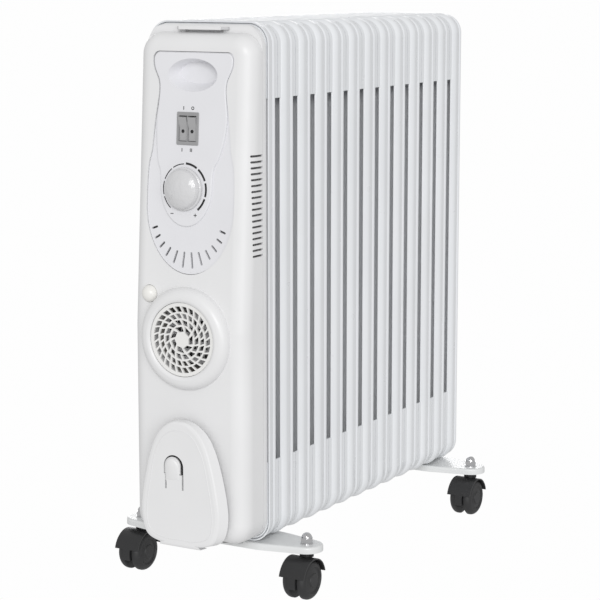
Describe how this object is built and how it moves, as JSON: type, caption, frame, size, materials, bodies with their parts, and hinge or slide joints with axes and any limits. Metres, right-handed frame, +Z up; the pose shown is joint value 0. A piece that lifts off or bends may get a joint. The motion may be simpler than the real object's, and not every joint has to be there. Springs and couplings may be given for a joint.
{
  "type": "oil filled radiator heater",
  "caption": "Portable oil filled radiator: a row of flat upright fins, a front control housing with thermostat, switches, fan grille and cord winder, on twin-wheel casters.",
  "frame": {"origin": "on the floor under the middle of the object's box", "axes": "+Z up, the control panel faces -Y, +X to the right when facing +Y"},
  "size_m": [0.261, 0.539, 0.641],
  "materials": {
    "fin_enamel": "gloss white enamel",
    "foot_enamel": "gloss white enamel",
    "panel_white": "satin moulded",
    "bezel_white": "satin moulded",
    "grille_white": "satin moulded",
    "hood_grey": "fine texture",
    "knob_white": "gloss",
    "switch_grey": "satin",
    "rocker_grey": "gloss",
    "button_white": "gloss",
    "wheel_black": "satin",
    "caster_black": "satin",
    "nut_chrome": "polished",
    "steel_zinc": "zinc plated",
    "element_steel": "drawn tube",
    "inner_black": "matt",
    "inner_white": "matt",
    "motor_metal": "plated",
    "heater_ceramic": "corrugated strip",
    "plug_brass": "turned",
    "gland_black": "matt"
  },
  "bodies": {
    "root": {"fin_01": "fin_enamel", "fin_02": "fin_enamel", "fin_03": "fin_enamel", "fin_04": "fin_enamel", "fin_05": "fin_enamel", "fin_06": "fin_enamel", "fin_07": "fin_enamel", "fin_08": "fin_enamel", "fin_09": "fin_enamel", "fin_10": "fin_enamel", "fin_11": "fin_enamel", "fin_12": "fin_enamel", "fin_13": "fin_enamel", "foot_plate_front": "foot_enamel", "foot_plate_rear": "foot_enamel", "front_panel": "panel_white", "rear_shell": "panel_white", "top_vent_hood": "hood_grey", "control_bezel": "bezel_white", "switch_frame": "switch_grey", "thermostat_body": "inner_white", "fan_grille": "grille_white", "fan_shroud": "inner_white", "ptc_heater": "heater_ceramic", "fan_motor": "motor_metal", "fan_switch": "inner_black", "cord_winder_cover": "panel_white", "cord_winder_core": "panel_white", "plug_clip": "panel_white", "heating_element": "element_steel", "terminal_block": "inner_white", "thermal_cutout": "inner_black", "tip_over_switch": "inner_black", "cable_gland": "gland_black", "panel_screws": "steel_zinc", "oil_filler_plug": "plug_brass", "foot_u_bolts": "steel_zinc", "wing_nuts": "steel_zinc", "caster_stems": "steel_zinc", "caster_cap_nuts": "nut_chrome"},
    "knob": {"thermostat_knob": "knob_white", "thermostat_shaft": "steel_zinc"},
    "rocker_left": {"rocker_left": "rocker_grey"},
    "rocker_right": {"rocker_right": "rocker_grey"},
    "fan_button": {"fan_button": "button_white"},
    "fan_impeller": {"fan_impeller": "inner_black"},
    "caster_front_left": {"caster_body_front_left": "caster_black"},
    "wheels_front_left": {"caster_wheels_front_left": "wheel_black", "caster_axle_front_left": "steel_zinc"},
    "caster_front_right": {"caster_body_front_right": "caster_black"},
    "wheels_front_right": {"caster_wheels_front_right": "wheel_black", "caster_axle_front_right": "steel_zinc"},
    "caster_rear_left": {"caster_body_rear_left": "caster_black"},
    "wheels_rear_left": {"caster_wheels_rear_left": "wheel_black", "caster_axle_rear_left": "steel_zinc"},
    "caster_rear_right": {"caster_body_rear_right": "caster_black"},
    "wheels_rear_right": {"caster_wheels_rear_right": "wheel_black", "caster_axle_rear_right": "steel_zinc"}
  },
  "joints": [
    {"name": "thermostat_turn", "type": "hinge", "parent": "root", "child": "knob", "pos_m": [-0.007, -0.24268, 0.45904], "axis": [0, -0.9981, 0.061], "range_deg": [-270, 0]},
    {"name": "left_switch_rock", "type": "hinge", "parent": "root", "child": "rocker_left", "pos_m": [-0.0104, -0.23665, 0.52492], "axis": [1, 0, 0], "range_deg": [-18, 0]},
    {"name": "right_switch_rock", "type": "hinge", "parent": "root", "child": "rocker_right", "pos_m": [0.0014, -0.23665, 0.52492], "axis": [1, 0, 0], "range_deg": [-18, 0]},
    {"name": "fan_button_press", "type": "slide", "parent": "root", "child": "fan_button", "axis": [0, 1, 0], "range_m": [0, 0.003], "stiffness_N_per_m": 400},
    {"name": "fan_spin", "type": "hinge", "parent": "root", "child": "fan_impeller", "pos_m": [0, -0.2208, 0.295], "axis": [0, 1, 0], "continuous": true},
    {"name": "front_left_swivel", "type": "hinge", "parent": "root", "child": "caster_front_left", "pos_m": [-0.112, -0.1805, 0.045], "axis": [0, 0, 1], "continuous": true},
    {"name": "front_left_roll", "type": "hinge", "parent": "caster_front_left", "child": "wheels_front_left", "pos_m": [-0.112, -0.1905, 0.0225], "axis": [1, 0, 0], "continuous": true},
    {"name": "front_right_swivel", "type": "hinge", "parent": "root", "child": "caster_front_right", "pos_m": [0.112, -0.1805, 0.045], "axis": [0, 0, 1], "continuous": true},
    {"name": "front_right_roll", "type": "hinge", "parent": "caster_front_right", "child": "wheels_front_right", "pos_m": [0.112, -0.1905, 0.0225], "axis": [1, 0, 0], "continuous": true},
    {"name": "rear_left_swivel", "type": "hinge", "parent": "root", "child": "caster_rear_left", "pos_m": [-0.112, 0.2375, 0.045], "axis": [0, 0, 1], "continuous": true},
    {"name": "rear_left_roll", "type": "hinge", "parent": "caster_rear_left", "child": "wheels_rear_left", "pos_m": [-0.112, 0.2275, 0.0225], "axis": [1, 0, 0], "continuous": true},
    {"name": "rear_right_swivel", "type": "hinge", "parent": "root", "child": "caster_rear_right", "pos_m": [0.112, 0.2375, 0.045], "axis": [0, 0, 1], "continuous": true},
    {"name": "rear_right_roll", "type": "hinge", "parent": "caster_rear_right", "child": "wheels_rear_right", "pos_m": [0.112, 0.2275, 0.0225], "axis": [1, 0, 0], "continuous": true}
  ]
}
